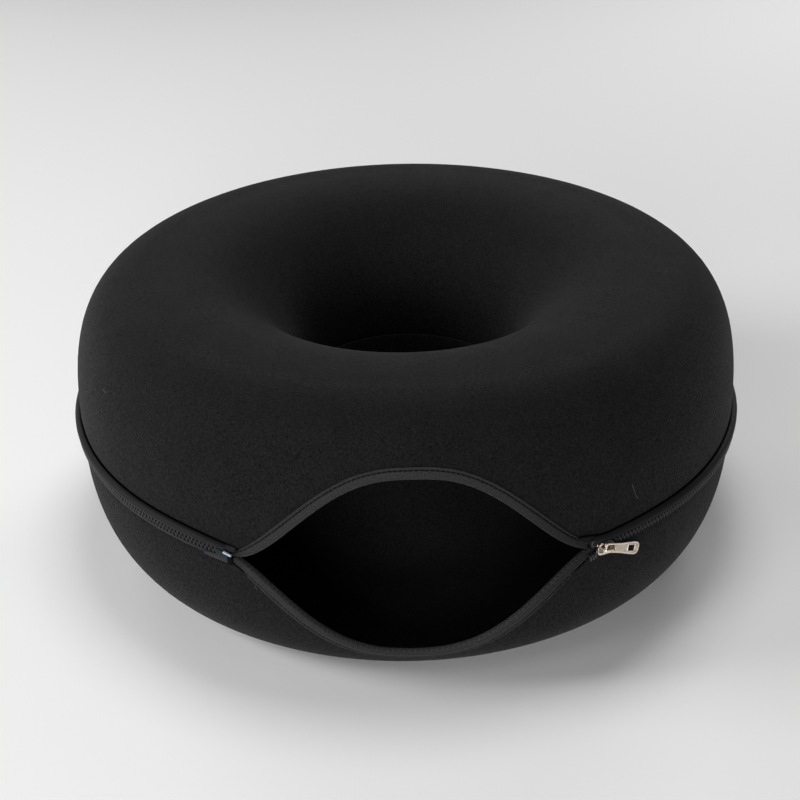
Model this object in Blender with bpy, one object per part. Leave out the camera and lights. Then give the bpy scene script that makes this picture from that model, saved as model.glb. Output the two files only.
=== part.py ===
"""Felt tunnel bed for a cat: a hollow ring in two moulded halves, zipped together round the outside."""

import math

import bmesh
import bpy
from mathutils import Matrix, Vector

# The ring. Lengths are in metres; radii are from the ring's upright axis, heights from the floor.
AXIS_Y = -0.0058
EQUATOR = 0.1257
CROWN_HEIGHT = 0.2517
CROWN_RADIUS = 0.2105
WALL_RADIUS = 0.2943
FLOOR_RADIUS = 0.2121
FLOOR_INNER_RADIUS = 0.1420
FELT = 0.0030
GAP = 0.0003

# How square each quarter of the cross-section is: 2 is round, more is squarer.
UPPER_OUTER_POWER = 3.01
UPPER_INNER_POWER = 2.40
LOWER_OUTER_POWER = 2.56
LOWER_INNER_POWER = 2.60
QUARTER_STEPS = 6

# The hole. The lower collar stands inside the upper neck.
COLLAR_RADIUS = 0.0951
COLLAR_TOP = 0.1300
COLLAR_BEND = 0.1120
NECK_GAP = 0.00045
NECK_RADIUS = COLLAR_RADIUS + FELT + NECK_GAP
NECK_BOTTOM = 0.1180

# The mouth: the azimuth is 0 at the front and grows to the right, in degrees.
MOUTH_END = 28.2
MOUTH_SHIFT = 0.4
ZIP_START = 28.8
MOUTH_STATIONS = 18
BACK_STATIONS = 48
# Each lip curve is distance = start + rise * (1 + cos(pi * (azimuth / reach) ** power)) / 2.
UPPER_OPENING = {"start": -0.0061, "rise": 0.0848, "reach": 29.3, "power": 1.33}
UPPER_FELT_LINE = {"start": -0.0078, "rise": 0.0955, "reach": 33.0, "power": 1.31}
LOWER_OPENING = {"start": 0.0033, "rise": 0.0846, "reach": 30.7, "power": 1.31}
LOWER_FELT_LINE = {"start": 0.0066, "rise": 0.0884, "reach": 32.5, "power": 1.39}
LEAST_BINDING = 0.0065
CORNER_HEIGHT = 0.1200
CORNER_CLEARANCE = 0.0004

# The twill tape folded over each lip.
TWILL = 0.0008
LIP_GAP = 0.00045
BEND_CUT = 0.0003
BACK_SHORTER = 0.0005

# The zip leans a little to the right, and its felt edges drop towards the mouth's corners.
UPPER_ZIP_EDGE = 0.1333
CHAIN_LINE = 0.1243
LOWER_ZIP_EDGE = 0.1153
ZIP_LEAN = 0.0030
EDGE_DIP = 0.0040
CHAIN_DIP = 0.0015
DIP_REACH = 45.0
DIP_WIDTH = 17.0
SEAM_ALLOWANCE = 0.0090
TAPE = 0.0010
# Middle of each tape as radius and share of the way from the chain, 0, to the felt edge, 1.
UPPER_TAPE_PATH = (
    (0.2898, 2.20),
    (0.2898, 1.02),
    (0.2908, 0.78),
    (0.2930, 0.70),
    (0.2968, 0.66),
    (0.2990, 0.42),
    (0.2984, 0.06),
)
LOWER_TAPE_PATH = (
    (0.2898, 2.15),
    (0.2898, 0.97),
    (0.2910, 0.80),
    (0.2935, 0.74),
    (0.2962, 0.60),
    (0.2972, 0.08),
)
CHAIN_INNER = 0.2960
CHAIN_OUTER = 0.2987
CHAIN_HALF_HEIGHT = 0.0026
CHAIN_CHAMFER = 0.0006
CHAIN_RIGHT_END = 32.4
CHAIN_LEFT_END = -30.4

# The retainer box and the stops: azimuth of the middle, height, radius of the back face, size.
BOX = (-28.9, 0.1243, 0.2969, (0.0125, 0.0046, 0.0040))
UPPER_STOP = (28.0, 0.1284, 0.2962, (0.0032, 0.0056, 0.0018))
LOWER_STOP = (28.6, 0.1150, 0.2978, (0.0060, 0.0046, 0.0016))
BLOCK_BEVEL = 0.0006

# The slider: a plate with a bridge, on a flat that touches the ring at SLIDER_AZIMUTH.
SLIDER_AZIMUTH = 30.7
SLIDER_HEIGHT = 0.1188
SLIDER_RADIUS = 0.2984
PLATE_LENGTH = 0.0148
PLATE_WIDTH = 0.0094
PLATE_THICK = 0.0019
PLATE_CORNER = 0.0024
BRIDGE_LENGTH = 0.0100
BRIDGE_WIDTH = 0.0030
BRIDGE_BAR = 0.0014
BRIDGE_CLEAR = 0.0038

# The pull: half widths along its length, then the slot and the window as start, length and width.
PULL_THICK = 0.0015
PULL_HANG = 25.0
PULL_LEAN = 9.0
PULL_START = (-0.0023, 0.0033, 0.0046)
PULL_OUTLINE = (
    (0.0000, 0.0027),
    (0.0005, 0.0036),
    (0.0013, 0.0041),
    (0.0028, 0.0042),
    (0.0085, 0.0041),
    (0.0120, 0.0037),
    (0.0170, 0.0039),
    (0.0240, 0.0044),
    (0.0305, 0.0050),
    (0.0335, 0.0051),
    (0.0350, 0.0044),
    (0.0357, 0.0030),
)
PULL_SLOT = (0.0016, 0.0075, 0.0046)
PULL_WINDOW = (0.0252, 0.0064, 0.0048)
SHARP_ANGLE = math.radians(35)

COLOURS = {
    "black_felt": (0.014, 0.014, 0.015, 1),
    "black_twill": (0.020, 0.020, 0.021, 1),
    "zip_tape_black": (0.012, 0.012, 0.014, 1),
    "zip_teeth_black": (0.010, 0.010, 0.013, 1),
    "zip_plastic_black": (0.015, 0.016, 0.022, 1),
    "pale_gold_metal": (0.62, 0.52, 0.42, 1),
}
ROUGHNESS = {"zip_plastic_black": 0.25, "zip_teeth_black": 0.4, "pale_gold_metal": 0.3}


def clear_scene():
    for thing in list(bpy.data.objects):
        bpy.data.objects.remove(thing, do_unlink=True)


def make_material(name):
    material = bpy.data.materials.new(name)
    material.use_nodes = True
    shader = material.node_tree.nodes["Principled BSDF"]
    shader.inputs["Base Color"].default_value = COLOURS[name]
    shader.inputs["Roughness"].default_value = ROUGHNESS.get(name, 0.9)
    shader.inputs["Metallic"].default_value = 1.0 if name == "pale_gold_metal" else 0.0
    material.diffuse_color = COLOURS[name]
    return material


def add_object(name, work, material):
    """Turns a bmesh into a named object with smooth faces and sharp edges."""
    bmesh.ops.recalc_face_normals(work, faces=work.faces)
    mesh = bpy.data.meshes.new(name)
    work.to_mesh(mesh)
    work.free()
    mesh.materials.append(bpy.data.materials[material])
    mesh.shade_smooth()
    mesh.set_sharp_from_angle(angle=SHARP_ANGLE)
    thing = bpy.data.objects.new(name, mesh)
    bpy.context.collection.objects.link(thing)
    return thing


def on_ring(azimuth, radius, height):
    angle = math.radians(azimuth)
    return Vector((radius * math.sin(angle), AXIS_Y - radius * math.cos(angle), height))


def facing(azimuth):
    """The same azimuth, between -180 and 180 degrees."""
    return (azimuth + 180) % 360 - 180


def spaced(first, last, steps):
    return [first + (last - first) * index / steps for index in range(steps + 1)]


def mouth_azimuths():
    return spaced(-MOUTH_END, MOUTH_END, MOUTH_STATIONS)


def zip_azimuths(first=ZIP_START, last=360 - ZIP_START):
    """The zip's stations, all of them shared with the shells but the two ends."""
    shared = spaced(ZIP_START, 360 - ZIP_START, BACK_STATIONS)
    return [first] + [value for value in shared if first < value < last] + [last]


def lip(azimuth, curve):
    """How far the lip curve lies above or below the equator at this azimuth."""
    share = min(abs(azimuth - MOUTH_SHIFT) / curve["reach"], 1.0)
    wave = 1 + math.cos(math.pi * share ** curve["power"])
    return curve["start"] + curve["rise"] * wave / 2


def zip_line(azimuth, height, dip):
    """Height of a line along the zip, with its lean and its drop near the mouth."""
    near = max(0.0, DIP_REACH - abs(azimuth)) / DIP_WIDTH
    return height - ZIP_LEAN * math.sin(math.radians(azimuth)) - dip * near**2


def upper_edge(azimuth):
    """Heights of the upper felt's edge and of the line where its binding or seam ends."""
    if abs(azimuth) > MOUTH_END:
        edge = zip_line(azimuth, UPPER_ZIP_EDGE, EDGE_DIP)
        return edge, edge + SEAM_ALLOWANCE
    opening = max(EQUATOR + lip(azimuth, UPPER_OPENING), CORNER_HEIGHT + CORNER_CLEARANCE)
    line = max(EQUATOR + lip(azimuth, UPPER_FELT_LINE), opening + LEAST_BINDING)
    return opening + LIP_GAP + TWILL, line


def lower_edge(azimuth):
    """Heights of the lower felt's edge and of the line where its binding or seam ends."""
    if abs(azimuth) > MOUTH_END:
        edge = zip_line(azimuth, LOWER_ZIP_EDGE, EDGE_DIP)
        return edge, edge - SEAM_ALLOWANCE
    opening = min(EQUATOR - lip(azimuth, LOWER_OPENING), CORNER_HEIGHT - CORNER_CLEARANCE)
    line = min(EQUATOR - lip(azimuth, LOWER_FELT_LINE), opening - LEAST_BINDING)
    return opening - LIP_GAP - TWILL, line


def wall_radius(height):
    """Radius of the ring's outer wall at a height."""
    if height >= EQUATOR:
        share = (height - EQUATOR) / (CROWN_HEIGHT - EQUATOR)
        power, middle = UPPER_OUTER_POWER, CROWN_RADIUS
    else:
        share = (EQUATOR - height) / EQUATOR
        power, middle = LOWER_OUTER_POWER, FLOOR_RADIUS
    return middle + (WALL_RADIUS - middle) * (1 - share**power) ** (1 / power)


def quarter(corner, wall, crown, power, angles):
    """Points of a quarter curve: at 0 degrees it meets the wall, at 90 the crown."""
    points = []
    for degrees in angles:
        angle = math.radians(degrees)
        across = math.cos(angle) ** (2 / power) if degrees < 90 else 0.0
        along = math.sin(angle) ** (2 / power) if degrees > 0 else 0.0
        radius = corner[0] + (wall - corner[0]) * across
        points.append((radius, corner[1] + (crown - corner[1]) * along))
    return points


def angle_at(share, power):
    return math.degrees(math.asin(share ** (power / 2)))


def upper_profile(azimuth):
    """Outer face of the upper half, from the foot of the neck over the crown to the lip."""
    edge, line = upper_edge(azimuth)
    inner = quarter(
        (CROWN_RADIUS, COLLAR_TOP),
        NECK_RADIUS,
        CROWN_HEIGHT,
        UPPER_INNER_POWER,
        spaced(0, 90, QUARTER_STEPS),
    )
    last = angle_at((line - EQUATOR) / (CROWN_HEIGHT - EQUATOR), UPPER_OUTER_POWER)
    outer = quarter(
        (CROWN_RADIUS, EQUATOR),
        WALL_RADIUS,
        CROWN_HEIGHT,
        UPPER_OUTER_POWER,
        spaced(90, last, QUARTER_STEPS)[1:],
    )
    return [(NECK_RADIUS, NECK_BOTTOM)] + inner + outer + [(wall_radius(edge), edge)]


def lower_profile(azimuth):
    """Outer face of the lower half, from the collar's top down to the floor and up to the lip."""
    edge, line = lower_edge(azimuth)
    inner = quarter(
        (FLOOR_INNER_RADIUS, COLLAR_BEND),
        COLLAR_RADIUS,
        0.0,
        LOWER_INNER_POWER,
        spaced(0, 90, QUARTER_STEPS),
    )
    last = angle_at((EQUATOR - line) / EQUATOR, LOWER_OUTER_POWER)
    outer = quarter(
        (FLOOR_RADIUS, EQUATOR),
        WALL_RADIUS,
        0.0,
        LOWER_OUTER_POWER,
        spaced(90, last, QUARTER_STEPS),
    )
    return [(COLLAR_RADIUS, COLLAR_TOP)] + inner + outer + [(wall_radius(edge), edge)]


def left_normal(first, second):
    run = Vector((second[0] - first[0], second[1] - first[1])).normalized()
    return Vector((-run.y, run.x))


def offset_path(points, distance):
    """The path moved sideways, to the left when distance is above 0, with mitred bends."""
    moved = []
    for index, point in enumerate(points):
        before = left_normal(points[max(index - 1, 0)], points[max(index, 1)])
        last = len(points) - 1
        after = left_normal(points[min(index, last - 1)], points[min(index + 1, last)])
        middle = (before + after).normalized()
        shift = middle * (distance / middle.dot(after))
        moved.append((point[0] + shift.x, point[1] + shift.y))
    return moved


def thick_loop(points, first, second):
    """Closed loop round a path, from one sideways distance to the other."""
    return offset_path(points, first) + offset_path(points, second)[::-1]


def sweep(name, rows, closed, material):
    """Joins loops of radius and height, one at each azimuth, into a ring or a capped arc."""
    work = bmesh.new()
    rings = [[work.verts.new(on_ring(azimuth, *point)) for point in loop] for azimuth, loop in rows]
    pairs = list(zip(rings, rings[1:]))
    if closed:
        pairs.append((rings[-1], rings[0]))
    for ring, following in pairs:
        for index in range(len(ring)):
            after = (index + 1) % len(ring)
            work.faces.new((ring[index], ring[after], following[after], following[index]))
    if not closed:
        work.faces.new(rings[0])
        work.faces.new(rings[-1])
    return add_object(name, work, material)


def build_shells():
    azimuths = mouth_azimuths() + zip_azimuths()
    upper = [(value, thick_loop(upper_profile(facing(value)), 0, -FELT)) for value in azimuths]
    lower = [(value, thick_loop(lower_profile(facing(value)), 0, FELT)) for value in azimuths]
    sweep("felt_upper_shell", upper, True, "black_felt")
    sweep("felt_lower_shell", lower, True, "black_felt")


def binding_loop(profile, outward):
    """The folded tape round the last stretch of a felt profile; outward is 1 or -1."""
    start = Vector(profile[-2])
    end = Vector(profile[-1])
    length = (end - start).length
    run = (end - start).normalized()
    side = Vector((-run.y, run.x)) * outward
    tip = length + LIP_GAP
    face = GAP
    back = -FELT - GAP
    outline = (
        (0, face),
        (tip, face),
        (tip, back),
        (BACK_SHORTER, back),
        (BACK_SHORTER, back - TWILL),
        (tip + TWILL - BEND_CUT, back - TWILL),
        (tip + TWILL, back - TWILL + BEND_CUT),
        (tip + TWILL, face + TWILL - BEND_CUT),
        (tip + TWILL - BEND_CUT, face + TWILL),
        (0, face + TWILL),
    )
    return [tuple(start + run * along + side * across) for along, across in outline]


def build_bindings():
    azimuths = mouth_azimuths()
    upper = [(value, binding_loop(upper_profile(value), 1)) for value in azimuths]
    lower = [(value, binding_loop(lower_profile(value), -1)) for value in azimuths]
    sweep("lip_binding_upper", upper, False, "black_twill")
    sweep("lip_binding_lower", lower, False, "black_twill")


def tape_loop(azimuth, path, edge_height, side):
    """Section of a zip tape between the chain and a felt edge; side is 1 above the chain."""
    edge = zip_line(azimuth, edge_height, EDGE_DIP)
    start = zip_line(azimuth, CHAIN_LINE, CHAIN_DIP) + side * CHAIN_HALF_HEIGHT
    points = [(radius, start + share * (edge - start)) for radius, share in path]
    return thick_loop(points, TAPE / 2, -TAPE / 2)


def chain_loop(azimuth):
    line = zip_line(azimuth, CHAIN_LINE, CHAIN_DIP)
    low = line - CHAIN_HALF_HEIGHT
    high = line + CHAIN_HALF_HEIGHT
    return (
        (CHAIN_INNER, low),
        (CHAIN_OUTER - CHAIN_CHAMFER, low),
        (CHAIN_OUTER, low + CHAIN_CHAMFER),
        (CHAIN_OUTER, high - CHAIN_CHAMFER),
        (CHAIN_OUTER - CHAIN_CHAMFER, high),
        (CHAIN_INNER, high),
    )


def build_zip():
    for name, path, edge, side in (
        ("zip_tape_upper", UPPER_TAPE_PATH, UPPER_ZIP_EDGE, 1),
        ("zip_tape_lower", LOWER_TAPE_PATH, LOWER_ZIP_EDGE, -1),
    ):
        rows = [(value, tape_loop(facing(value), path, edge, side)) for value in zip_azimuths()]
        sweep(name, rows, False, "zip_tape_black")
    stations = zip_azimuths(CHAIN_RIGHT_END, 360 + CHAIN_LEFT_END)
    rows = [(value, chain_loop(facing(value))) for value in stations]
    sweep("zip_chain", rows, False, "zip_teeth_black")


def frame_at(azimuth, height, radius):
    """Matrix whose x runs along the zip to the right, y up and z away from the ring."""
    angle = math.radians(azimuth)
    along = Vector((math.cos(angle), math.sin(angle), 0))
    outward = Vector((math.sin(angle), -math.cos(angle), 0))
    turn = Matrix((along, Vector((0, 0, 1)), outward)).transposed().to_4x4()
    return Matrix.Translation(on_ring(azimuth, radius, height)) @ turn


def add_prism(work, outline, low, high):
    """Adds a closed prism with this outline between two levels, and gives its vertices."""
    bottom = [work.verts.new((x, y, low)) for x, y in outline]
    top = [work.verts.new((x, y, high)) for x, y in outline]
    for index in range(len(outline)):
        after = (index + 1) % len(outline)
        work.faces.new((bottom[index], bottom[after], top[after], top[index]))
    work.faces.new(bottom[::-1])
    work.faces.new(top)
    return bottom + top


def rectangle(start, length, width):
    half = width / 2
    return ((start, -half), (start + length, -half), (start + length, half), (start, half))


def build_block(name, place, material):
    """A small rounded block on the zip."""
    azimuth, height, radius, (length, width, thick) = place
    work = bmesh.new()
    add_prism(work, rectangle(-length / 2, length, width), 0, thick)
    front = [edge for edge in work.edges if max(vert.co.z for vert in edge.verts) > 0]
    bmesh.ops.bevel(work, geom=front, offset=BLOCK_BEVEL, segments=2, affect="EDGES")
    work.transform(frame_at(azimuth, height, radius))
    add_object(name, work, material)


def chamfered(length, width, corner):
    """Outline of a rectangle about the origin with cut corners."""
    far, side = length / 2, width / 2
    return (
        (-far, corner - side),
        (corner - far, -side),
        (far - corner, -side),
        (far, corner - side),
        (far, side - corner),
        (far - corner, side),
        (corner - far, side),
        (-far, side - corner),
    )


def bridge_solid():
    """The slider's bridge, an arch along the zip whose feet stand in the plate."""
    reach = BRIDGE_LENGTH / 2
    foot = PLATE_THICK / 2
    roof = PLATE_THICK + BRIDGE_CLEAR
    top = roof + BRIDGE_BAR
    slope = BRIDGE_BAR / 2
    arch = (
        (-reach, foot),
        (-reach + BRIDGE_BAR, foot),
        (-reach + BRIDGE_BAR, roof - slope),
        (-reach + BRIDGE_BAR + slope, roof),
        (reach - BRIDGE_BAR - slope, roof),
        (reach - BRIDGE_BAR, roof - slope),
        (reach - BRIDGE_BAR, foot),
        (reach, foot),
        (reach, top - 2 * slope),
        (reach - 2 * slope, top),
        (2 * slope - reach, top),
        (-reach, top - 2 * slope),
    )
    work = bmesh.new()
    verts = add_prism(work, arch, -BRIDGE_WIDTH / 2, BRIDGE_WIDTH / 2)
    bmesh.ops.rotate(work, verts=verts, matrix=Matrix.Rotation(math.radians(90), 3, "X"))
    return work


def hide_helper(helper):
    helper.hide_render = True
    helper.display_type = "WIRE"


def add_boolean(thing, operation, helper):
    modifier = thing.modifiers.new(helper.name, "BOOLEAN")
    modifier.operation = operation
    modifier.solver = "EXACT"
    modifier.object = helper
    hide_helper(helper)


def build_slider():
    place = frame_at(SLIDER_AZIMUTH, SLIDER_HEIGHT, SLIDER_RADIUS)
    work = bmesh.new()
    add_prism(work, chamfered(PLATE_LENGTH, PLATE_WIDTH, PLATE_CORNER), 0, PLATE_THICK)
    work.transform(place)
    plate = add_object("zip_slider", work, "pale_gold_metal")
    bridge = bridge_solid()
    bridge.transform(place)
    add_boolean(plate, "UNION", add_object("bridge_helper", bridge, "pale_gold_metal"))


def pull_frame():
    """Matrix of the pull: x runs from its ring end to its tip, z is its face."""
    lean = Matrix.Rotation(math.radians(PULL_LEAN), 4, "Y")
    hang = Matrix.Rotation(math.radians(-PULL_HANG), 4, "Z")
    start = Matrix.Translation(Vector(PULL_START))
    return frame_at(SLIDER_AZIMUTH, SLIDER_HEIGHT, SLIDER_RADIUS) @ start @ hang @ lean


def build_pull():
    place = pull_frame()
    half = PULL_THICK / 2
    outline = [(along, -width) for along, width in PULL_OUTLINE]
    outline += [(along, width) for along, width in reversed(PULL_OUTLINE)]
    work = bmesh.new()
    add_prism(work, outline, -half, half)
    work.transform(place)
    pull = add_object("zip_pull", work, "pale_gold_metal")
    for name, cut in (("slot_helper", PULL_SLOT), ("window_helper", PULL_WINDOW)):
        cutter = bmesh.new()
        add_prism(cutter, rectangle(*cut), -PULL_THICK, PULL_THICK)
        cutter.transform(place)
        add_boolean(pull, "DIFFERENCE", add_object(name, cutter, "pale_gold_metal"))


def main():
    clear_scene()
    for name in COLOURS:
        make_material(name)
    build_shells()
    build_bindings()
    build_zip()
    build_block("zip_retainer_box", BOX, "zip_plastic_black")
    build_block("zip_stop_upper", UPPER_STOP, "zip_plastic_black")
    build_block("zip_stop_lower", LOWER_STOP, "zip_plastic_black")
    build_slider()
    build_pull()


main()
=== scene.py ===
"""Looks of a felt tunnel bed for a cat: moulded felt, folded twill lips, a zip and its small parts."""

import math
import random

import bmesh
import bpy
import numpy as np
from mathutils import Matrix, Vector, noise


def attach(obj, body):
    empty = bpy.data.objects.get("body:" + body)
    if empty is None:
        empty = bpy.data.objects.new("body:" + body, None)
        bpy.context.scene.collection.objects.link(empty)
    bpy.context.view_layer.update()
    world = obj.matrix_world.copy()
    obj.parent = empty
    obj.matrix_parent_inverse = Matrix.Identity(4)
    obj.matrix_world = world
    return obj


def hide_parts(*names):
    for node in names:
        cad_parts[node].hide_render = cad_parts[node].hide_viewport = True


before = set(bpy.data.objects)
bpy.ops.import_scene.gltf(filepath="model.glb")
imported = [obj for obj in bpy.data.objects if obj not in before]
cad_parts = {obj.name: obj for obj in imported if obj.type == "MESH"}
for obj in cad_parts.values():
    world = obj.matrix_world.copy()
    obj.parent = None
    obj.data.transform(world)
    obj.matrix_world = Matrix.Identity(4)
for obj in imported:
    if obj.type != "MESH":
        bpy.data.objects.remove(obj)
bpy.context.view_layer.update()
MM = 0.001

# The ring, as its solids are built: lengths in metres, angles in degrees.
AXIS_Y = -0.0058
EQUATOR = 0.1257
CROWN_HEIGHT = 0.2517
CROWN_RADIUS = 0.2105
WALL_RADIUS = 0.2943
FLOOR_RADIUS = 0.2121
FLOOR_INNER_RADIUS = 0.1420
FELT = 0.0030
UPPER_OUTER_POWER = 3.01
LOWER_OUTER_POWER = 2.56
COLLAR_RADIUS = 0.0951
COLLAR_TOP = 0.1300
COLLAR_BEND = 0.1120
NECK_RADIUS = COLLAR_RADIUS + FELT + 0.00045
NECK_BOTTOM = 0.1180

# The felt's cut edges are rounded, and its seams lie this far from its edges. The moulding left it
# uneven, by a strength and waves per metre. That fades in from the seams, the collar and the floor.
EDGE_ROUNDING = 0.0008
EDGE_ROUNDING_REACH = 0.0025
SEAM_MARGIN = 0.009
BROAD_UNEVENNESS = (0.0005, 14.0)
CLOSE_UNEVENNESS = (0.00012, 55.0)
SEAM_FADE = 0.02
COLLAR_FADE = (0.104, 0.03)
FLOOR_FADE = (0.012, 0.03)

# The mouth, between its corners.
MOUTH_END = 28.2
MOUTH_SHIFT = 0.4
ZIP_START = 28.8
LEAST_BINDING = 0.0065
CORNER_HEIGHT = 0.1200
CORNER_CLEARANCE = 0.0004

# The twill tape folded over each lip.
TWILL = 0.0008
LIP_GAP = 0.00045
GAP = 0.0003
END_ROUNDING = 0.0030
FOLD_SHAPE = 0.75

# Sewing and twill of the lips: depth or height of the selvedge, the groove, the body and the ribs,
# and where across the tape they lie. The stitches' painted shade has its own width, the lower lip's
# fold carries beads of painted highlight, and painted shade darkens the tape towards the right corner.
SELVEDGE = (0.00022, 0.08, 0.07)
GROOVE = (0.00050, 0.050)
BODY_PUFF = 0.00030
RIB_HEIGHT = 0.00011
STITCH_SINK = 0.00018
STITCH_ARCH = 0.00035
STITCH_SHARE = 0.29
STITCH_PITCH = 0.0040
STITCH_LENGTH = 0.0024
STITCH_RADIUS = 0.00034
STITCH_DASH = STITCH_LENGTH / STITCH_PITCH
GROOVE_SHARE = 0.070
RIB_PITCH = 0.00150
RIB_SLANT = 0.0021
BEAD_PITCH = 0.0044
CORNER_SHADE = 0.42
CORNER_SHADE_REACH = 0.09

# The two halves of the ring. The felt runs from its collar in a quarter curve round a corner to
# the crown or the floor, and from there down or up to its edge. A lip's opening and the line where
# its tape ends on the felt are waves with a start, a rise, a reach and a power. The area is that of
# the blank without its hole and mouth.
UPPER = {
    "name": "upper",
    "up": 1,
    "collar": (NECK_RADIUS, NECK_BOTTOM),
    "corner": (CROWN_RADIUS, COLLAR_TOP),
    "inner_power": 2.40,
    "far": CROWN_HEIGHT,
    "opening": (-0.0061, 0.0848, 29.3, 1.33),
    "felt_line": (-0.0078, 0.0955, 33.0, 1.31),
    "lip_end": MOUTH_END,
    "fuzz": 1100,
    "area": 0.40,
}
LOWER = {
    "name": "lower",
    "up": -1,
    "collar": (COLLAR_RADIUS, COLLAR_TOP),
    "corner": (FLOOR_INNER_RADIUS, COLLAR_BEND),
    "inner_power": 2.60,
    "far": 0.0,
    "opening": (0.0033, 0.0846, 30.7, 1.31),
    "felt_line": (0.0066, 0.0884, 32.5, 1.39),
    "lip_end": 29.7,
    "fuzz": 500,
    "area": 0.39,
}

# Loose fibres and lint on the felt. Each bit of lint has a radius and points of azimuth and height.
FIBRE_DRAW = (1.0, 1.0, 0.45)
FUZZ_INNER_MARGIN = 0.06
FUZZ_EDGE_MARGIN = 0.014
FUZZ_LENGTH = (0.0025, 0.0075)
FUZZ_LIFT = (0.0002, 0.0007)
FUZZ_ROOT = 0.0002
FUZZ_RADIUS = 0.00006
FUZZ_SEED = 7
FUZZ_LOWEST = 0.003
LINT = (
    (0.00016, ((36.36, 0.1644), (36.60, 0.1606), (36.81, 0.1572), (37.20, 0.1520), (37.74, 0.1488))),
    (0.00013, ((-24.64, 0.0966), (-24.42, 0.0950), (-24.37, 0.0929))),
    (0.00013, ((-60.03, 0.2085), (-59.40, 0.2070), (-58.68, 0.2079))),
)

# The zip. Its lines dip towards the mouth. The tape's cord has a height, a distance from the teeth
# and a width, and its wales a height and a pitch. The tapes' sections are radii, and shares of the
# way from the teeth to the felt's edge.
UPPER_ZIP_EDGE = 0.1333
CHAIN_LINE = 0.1243
LOWER_ZIP_EDGE = 0.1153
ZIP_LEAN = 0.0030
EDGE_DIP = 0.0040
CHAIN_DIP = 0.0015
DIP_REACH = 45.0
DIP_WIDTH = 17.0
TAPE = 0.0010
TAPE_CORD = (0.00022, 0.0014, 0.0007)
TAPE_WALE = (0.00004, 0.0011)
# How far the painted shade beside the teeth reaches.
TEETH_SHADE = 0.0009
UPPER_TAPE_PATH = ((0.2898, 2.20), (0.2898, 1.02), (0.2910, 0.94), (0.2938, 0.91),
                   (0.2970, 0.86), (0.2990, 0.50), (0.2984, 0.06))
LOWER_TAPE_PATH = ((0.2898, 2.15), (0.2898, 0.97), (0.2910, 0.80),
                   (0.2935, 0.74), (0.2962, 0.60), (0.2972, 0.08))
RIGHT_LOWER_TAPE_PATH = ((0.2898, 2.15), (0.2898, 0.97), (0.2905, 0.62),
                         (0.2935, 0.46), (0.2964, 0.32), (0.2972, 0.08))
CHAIN_INNER = 0.2960
CHAIN_OUTER = 0.2987
CHAIN_HALF_HEIGHT = 0.0026
CHAIN_RIGHT_END = 32.4
CHAIN_LEFT_END = -30.4
TOOTH_PITCH = 0.0038
TOOTH_BEVEL = 0.00042
TOOTH_HALF = ((0.92, 2.75), (1.02, 1.75), (0.76, 1.00), (0.44, 0.40),
              (0.62, -0.20), (0.52, -0.70), (0.26, -0.95))

# Where the zip meets the mouth. The upper tape's ends lie over the lip tape: azimuth, top, bottom.
RIGHT_END = ((25.9, 0.1347, 0.1339), (26.3, 0.1346, 0.1316), (26.7, 0.1343, 0.1300),
             (27.6, 0.1336, 0.1274), (28.1, 0.1332, 0.1260), (28.8, 0.1322, 0.1248))
LEFT_END = ((-28.8, 0.1314, 0.1262), (-28.2, 0.1312, 0.1260), (-27.8, 0.1310, 0.1264),
            (-27.5, 0.1308, 0.1273), (-27.2, 0.1305, 0.1285))
END_RADIUS = 0.2971
RIGHT_EDGE_LIFT = 0.0034
RIGHT_EDGE_REACH = 3.2
LEFT_EDGE_DROP = 0.0009
LEFT_EDGE_REACH = 6.0
RIGHT_FELT_LIFT = 0.0032
RIGHT_LIFT_START = (29.5, 5.0)

# Small parts at the zip's ends: azimuth, height, radius, turn and (length, width, thickness).
BOX = (-28.50, 0.1246, 0.2975, -12, (0.0076, 0.0015, 0.0022))
FILM_TAB = (-29.95, 0.1242, 0.2975, -6, (0.0072, 0.0040, 0.0016))
UPPER_STOP = (28.35, 0.1273, 0.2972, 0, (0.0034, 0.0056, 0.0030))
LOWER_STOP = (28.50, 0.1143, 0.2962, 13, (0.0066, 0.0046, 0.0026))
LOWER_STOP_RIBS = (-0.0025, -0.0001, 0.0024)
LAST_TOOTH = (29.55, 0.1160, 0.2962, 8, (0.0022, 0.0046, 0.0026))

# The milky film: azimuth, top and bottom of its patch, then its radius, its fall inwards to its
# lower rim and its thickness.
FILM = ((-33.1, 0.1199, 0.1158), (-31.6, 0.1206, 0.1150), (-30.4, 0.1212, 0.1146),
        (-29.4, 0.1222, 0.1144), (-28.5, 0.1230, 0.1142))
FILM_RADIUS = 0.2981
FILM_FALL = 0.0016
FILM_THICK = 0.0004
FILM_STATIONS = 40
FILM_COLUMNS = 13

# Sewing at the mouth's left corner: a bar tack, then single threads, each with its steps, radius,
# thickness and points of azimuth and height. The threads are three of a knot, a cord over the box
# and three seams. They are dark lines in the photograph, and what they are is a guess. The cord and
# the three seams are dark threads laid along lines of shadow: painted shadow.
TACK_THREADS = 7
TACK_START = -28.42
TACK_STEP = 0.105
TACK_TOP = 0.1252
TACK_DROP = 0.0102
TACK_RADIUS = 0.2990
TACK_THICK = 0.00036
THREADS_AND_SHADOW_LINES = (
    (3, 0.2985, 0.00040, ((-28.70, 0.1158), (-27.71, 0.1158))),
    (3, 0.2985, 0.00040, ((-28.70, 0.1152), (-27.71, 0.1152))),
    (3, 0.2985, 0.00040, ((-28.70, 0.1146), (-27.71, 0.1146))),
    (5, 0.3005, 0.00070, ((-28.95, 0.1292), (-27.50, 0.1272))),
    (8, 0.2980, 0.0006, ((-26.45, 0.1317), (-26.85, 0.1293), (-27.22, 0.1266), (-27.43, 0.1239))),
    (8, 0.2965, 0.0004, ((-27.60, 0.1222), (-27.16, 0.1222), (-26.53, 0.1231))),
    (8, 0.2965, 0.0006, ((-28.15, 0.1162), (-27.39, 0.1136), (-26.71, 0.1113), (-26.05, 0.1089))),
)

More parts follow.
